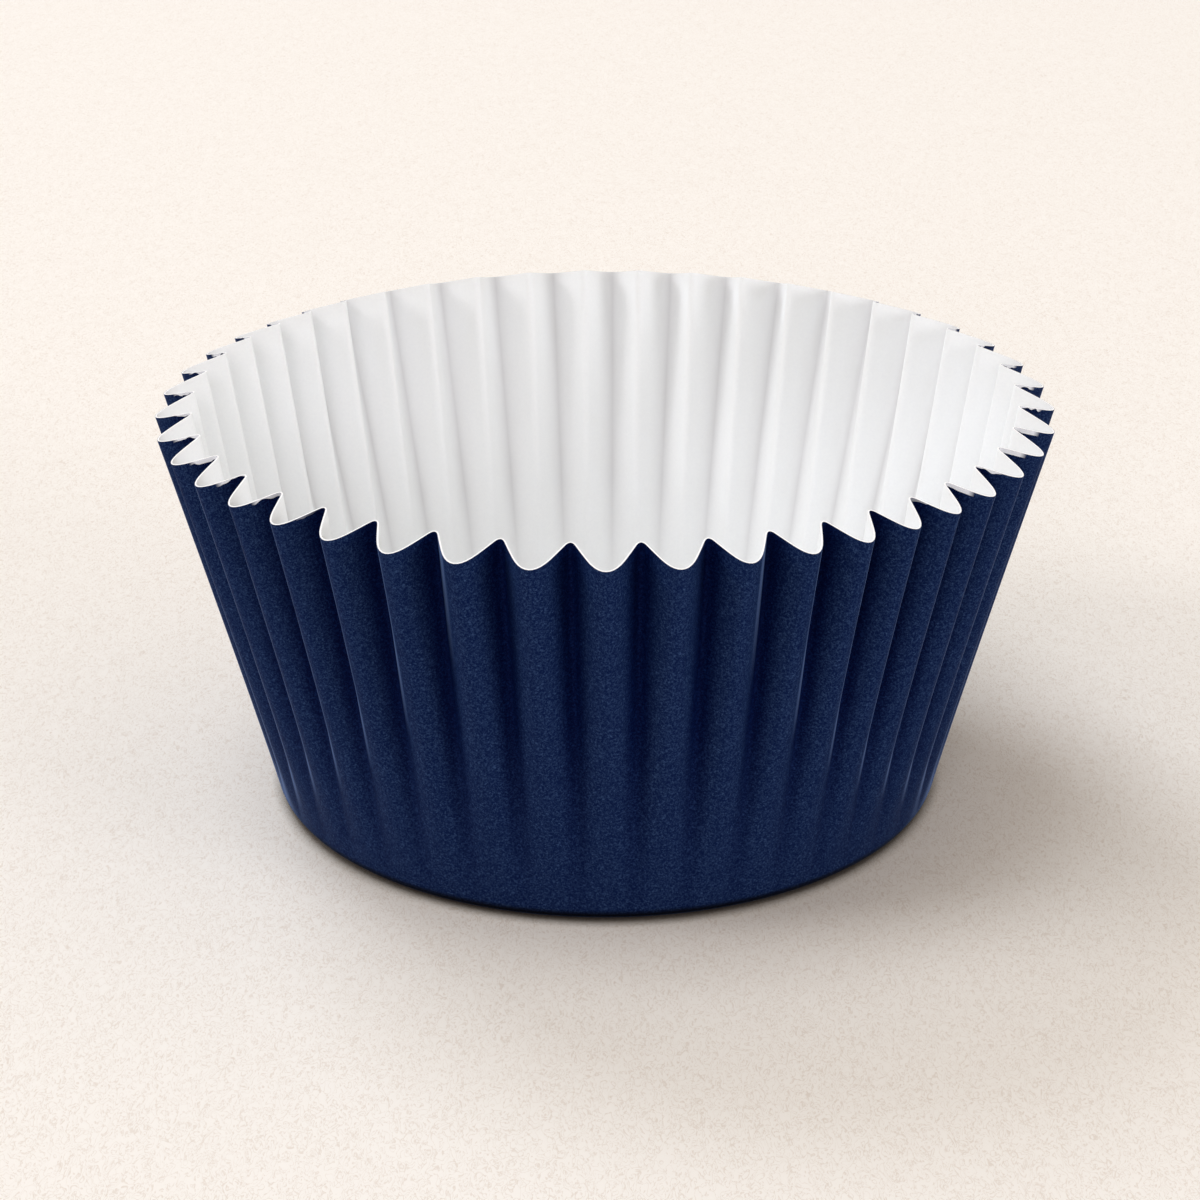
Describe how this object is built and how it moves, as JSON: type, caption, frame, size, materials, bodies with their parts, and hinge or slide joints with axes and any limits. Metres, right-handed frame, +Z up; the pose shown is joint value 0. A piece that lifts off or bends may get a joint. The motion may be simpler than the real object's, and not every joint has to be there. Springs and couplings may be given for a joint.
{
  "type": "paper candy cup",
  "caption": "Fluted paper candy cup, dark blue outside and white inside, with a flat round base and a pleated flaring wall.",
  "frame": {"origin": "centre of the underside of the flat base", "axes": "+Z up along the cup's axis through the open rim; -Y towards the front flute"},
  "size_m": [0.0416, 0.0414, 0.0194],
  "materials": {
    "paper": "matt printed paper, dark blue outside and white inside"
  },
  "bodies": {
    "root": {"cup": "paper"}
  },
  "joints": []
}
